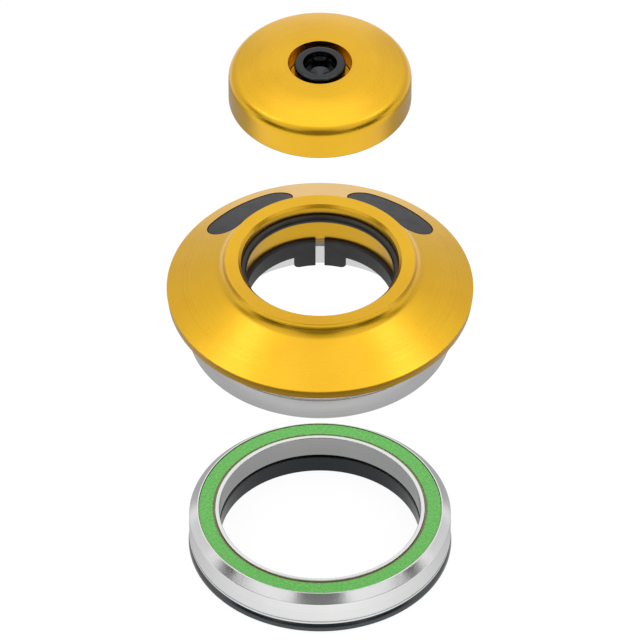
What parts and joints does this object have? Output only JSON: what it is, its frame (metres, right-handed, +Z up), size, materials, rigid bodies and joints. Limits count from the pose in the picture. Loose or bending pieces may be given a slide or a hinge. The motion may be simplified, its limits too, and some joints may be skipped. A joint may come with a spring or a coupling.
{
  "type": "bicycle headset",
  "caption": "Bicycle headset with gold top cap, flared cover, sealed angular contact bearings, compression ring and crown race, laid out along the steerer axis.",
  "frame": {"origin": "centre of the crown race's bottom face, where it sits on the fork crown", "axes": "+Z up along the steerer axis, +X to the rider's side-to-side direction, +Y towards the cable ports and the split of the compression ring"},
  "size_m": [0.06, 0.06, 0.1283],
  "materials": {
    "gold_anodised": "satin anodised",
    "black_steel": "black oxide",
    "black_rubber": "smooth",
    "grey_rubber": "matte",
    "charcoal_nylon": "moulded",
    "black_anodised": "black anodised",
    "bearing_steel": "ground",
    "ball_steel": "polished",
    "cage_nylon": "moulded",
    "green_seal": "smooth"
  },
  "bodies": {
    "head_tube_side": {"lower_outer_ring": "bearing_steel", "lower_bevel_side_seal": "green_seal", "lower_chamfer_side_seal": "green_seal", "upper_outer_ring": "bearing_steel", "upper_bevel_side_seal": "green_seal", "upper_chamfer_side_seal": "green_seal"},
    "lower_steering_side": {"crown_race": "black_anodised", "lower_inner_ring": "bearing_steel"},
    "upper_steering_side": {"headset_cover": "gold_anodised", "steerer_o_ring": "black_rubber", "port_plug_left": "grey_rubber", "port_plug_right": "grey_rubber", "compression_ring": "charcoal_nylon", "upper_inner_ring": "bearing_steel", "top_cap": "gold_anodised"},
    "lower_ball_set": {"lower_balls": "ball_steel", "lower_ball_cage": "cage_nylon"},
    "upper_ball_set": {"upper_balls": "ball_steel", "upper_ball_cage": "cage_nylon"},
    "cap_screw": {"cap_bolt": "black_steel"}
  },
  "joints": [
    {"name": "steering", "type": "hinge", "parent": "head_tube_side", "child": "upper_steering_side", "pos_m": [0, 0, 0.0603], "axis": [0, 0, 1], "continuous": true},
    {"name": "lower_race_turn", "type": "hinge", "parent": "head_tube_side", "child": "lower_steering_side", "pos_m": [0, 0, 0.0056], "axis": [0, 0, 1], "continuous": true},
    {"name": "upper_balls_turn", "type": "hinge", "parent": "head_tube_side", "child": "upper_ball_set", "pos_m": [0, 0, 0.0603], "axis": [0, 0, 1], "continuous": true},
    {"name": "lower_balls_turn", "type": "hinge", "parent": "head_tube_side", "child": "lower_ball_set", "pos_m": [0, 0, 0.0056], "axis": [0, 0, 1], "continuous": true},
    {"name": "bolt_turn", "type": "hinge", "parent": "upper_steering_side", "child": "cap_screw", "pos_m": [0, 0, 0.1242], "axis": [0, 0, 1], "continuous": true}
  ],
  "couplings": [
    {"joint": "lower_race_turn", "follows": "steering", "ratio": 1},
    {"joint": "upper_balls_turn", "follows": "steering", "ratio": 0.4756},
    {"joint": "lower_balls_turn", "follows": "steering", "ratio": 0.4756}
  ]
}
